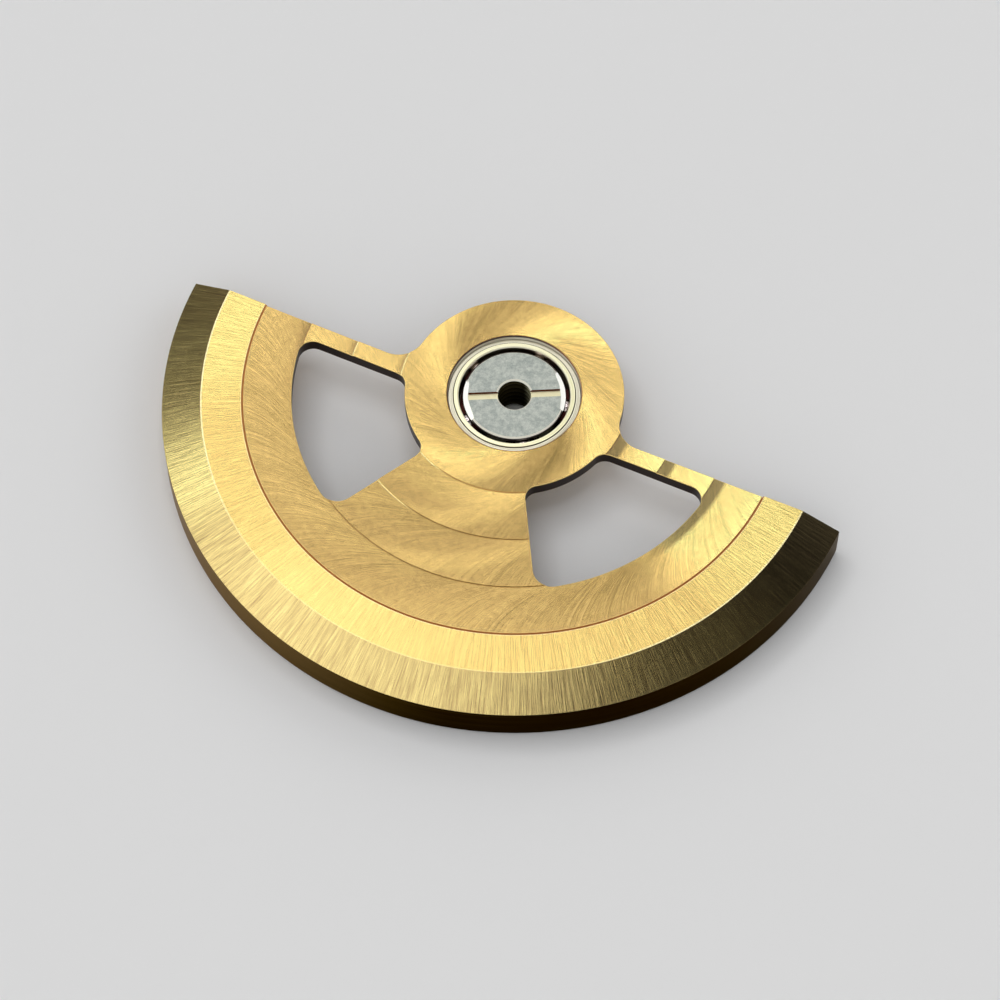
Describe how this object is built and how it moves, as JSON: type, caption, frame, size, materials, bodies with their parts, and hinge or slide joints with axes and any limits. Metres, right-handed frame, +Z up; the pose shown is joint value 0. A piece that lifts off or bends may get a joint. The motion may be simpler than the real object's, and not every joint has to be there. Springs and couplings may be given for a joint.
{
  "type": "automatic watch rotor",
  "caption": "Half-disc oscillating weight of a self-winding watch: pierced, circularly striped plate and heavy bevelled rim on a small ball bearing with a slotted, threaded centre.",
  "frame": {"origin": "on the rotor's turning axis, at the seat of the bearing core, level with the underside of the rim", "axes": "+Z up along the turning axis, from the movement to the striped face; +X along the straight edge of the arms; the heavy rim lies towards -Y"},
  "size_m": [0.0246, 0.0161, 0.0018],
  "materials": {
    "plate": "gold-coloured plate with circular stripes",
    "rim": "gold-coloured rim, brushed along the radius",
    "ring_steel": "turned and polished hardened steel",
    "gear": "cut brass, fine turned faces",
    "core_steel": "ground hardened steel",
    "lock_steel": "matt blue-grey hardened steel with a polished chamfer",
    "cage": "dark red bronze",
    "balls": "polished bearing steel"
  },
  "bodies": {
    "inner_ring": {"bearing_core": "core_steel", "slotted_lock_ring": "lock_steel"},
    "rotor": {"rotor_plate": "plate", "rim_weight": "rim", "bearing_outer_ring": "ring_steel", "drive_gear": "gear"},
    "cage": {"ball_cage": "cage"},
    "ball_1": {"ball_1": "balls"},
    "ball_2": {"ball_2": "balls"},
    "ball_3": {"ball_3": "balls"},
    "ball_4": {"ball_4": "balls"},
    "ball_5": {"ball_5": "balls"}
  },
  "joints": [
    {"name": "rotor_turn", "type": "hinge", "parent": "inner_ring", "child": "rotor", "pos_m": [0, 0, 0.0012], "axis": [0, 0, 1], "continuous": true},
    {"name": "cage_turn", "type": "hinge", "parent": "inner_ring", "child": "cage", "pos_m": [0, 0, 0.0012], "axis": [0, 0, 1], "continuous": true},
    {"name": "ball_1_spin", "type": "hinge", "parent": "cage", "child": "ball_1", "pos_m": [0.00176, 0.00049, 0.0012], "axis": [0, 0, 1], "continuous": true},
    {"name": "ball_2_spin", "type": "hinge", "parent": "cage", "child": "ball_2", "pos_m": [0.00008, 0.00183, 0.0012], "axis": [0, 0, 1], "continuous": true},
    {"name": "ball_3_spin", "type": "hinge", "parent": "cage", "child": "ball_3", "pos_m": [-0.00172, 0.00064, 0.0012], "axis": [0, 0, 1], "continuous": true},
    {"name": "ball_4_spin", "type": "hinge", "parent": "cage", "child": "ball_4", "pos_m": [-0.00114, -0.00143, 0.0012], "axis": [0, 0, 1], "continuous": true},
    {"name": "ball_5_spin", "type": "hinge", "parent": "cage", "child": "ball_5", "pos_m": [0.00101, -0.00152, 0.0012], "axis": [0, 0, 1], "continuous": true}
  ],
  "couplings": [
    {"joint": "cage_turn", "follows": "rotor_turn", "ratio": 0.58197},
    {"joint": "ball_1_spin", "follows": "rotor_turn", "ratio": 2.968},
    {"joint": "ball_2_spin", "follows": "rotor_turn", "ratio": 2.968},
    {"joint": "ball_3_spin", "follows": "rotor_turn", "ratio": 2.968},
    {"joint": "ball_4_spin", "follows": "rotor_turn", "ratio": 2.968},
    {"joint": "ball_5_spin", "follows": "rotor_turn", "ratio": 2.968}
  ]
}
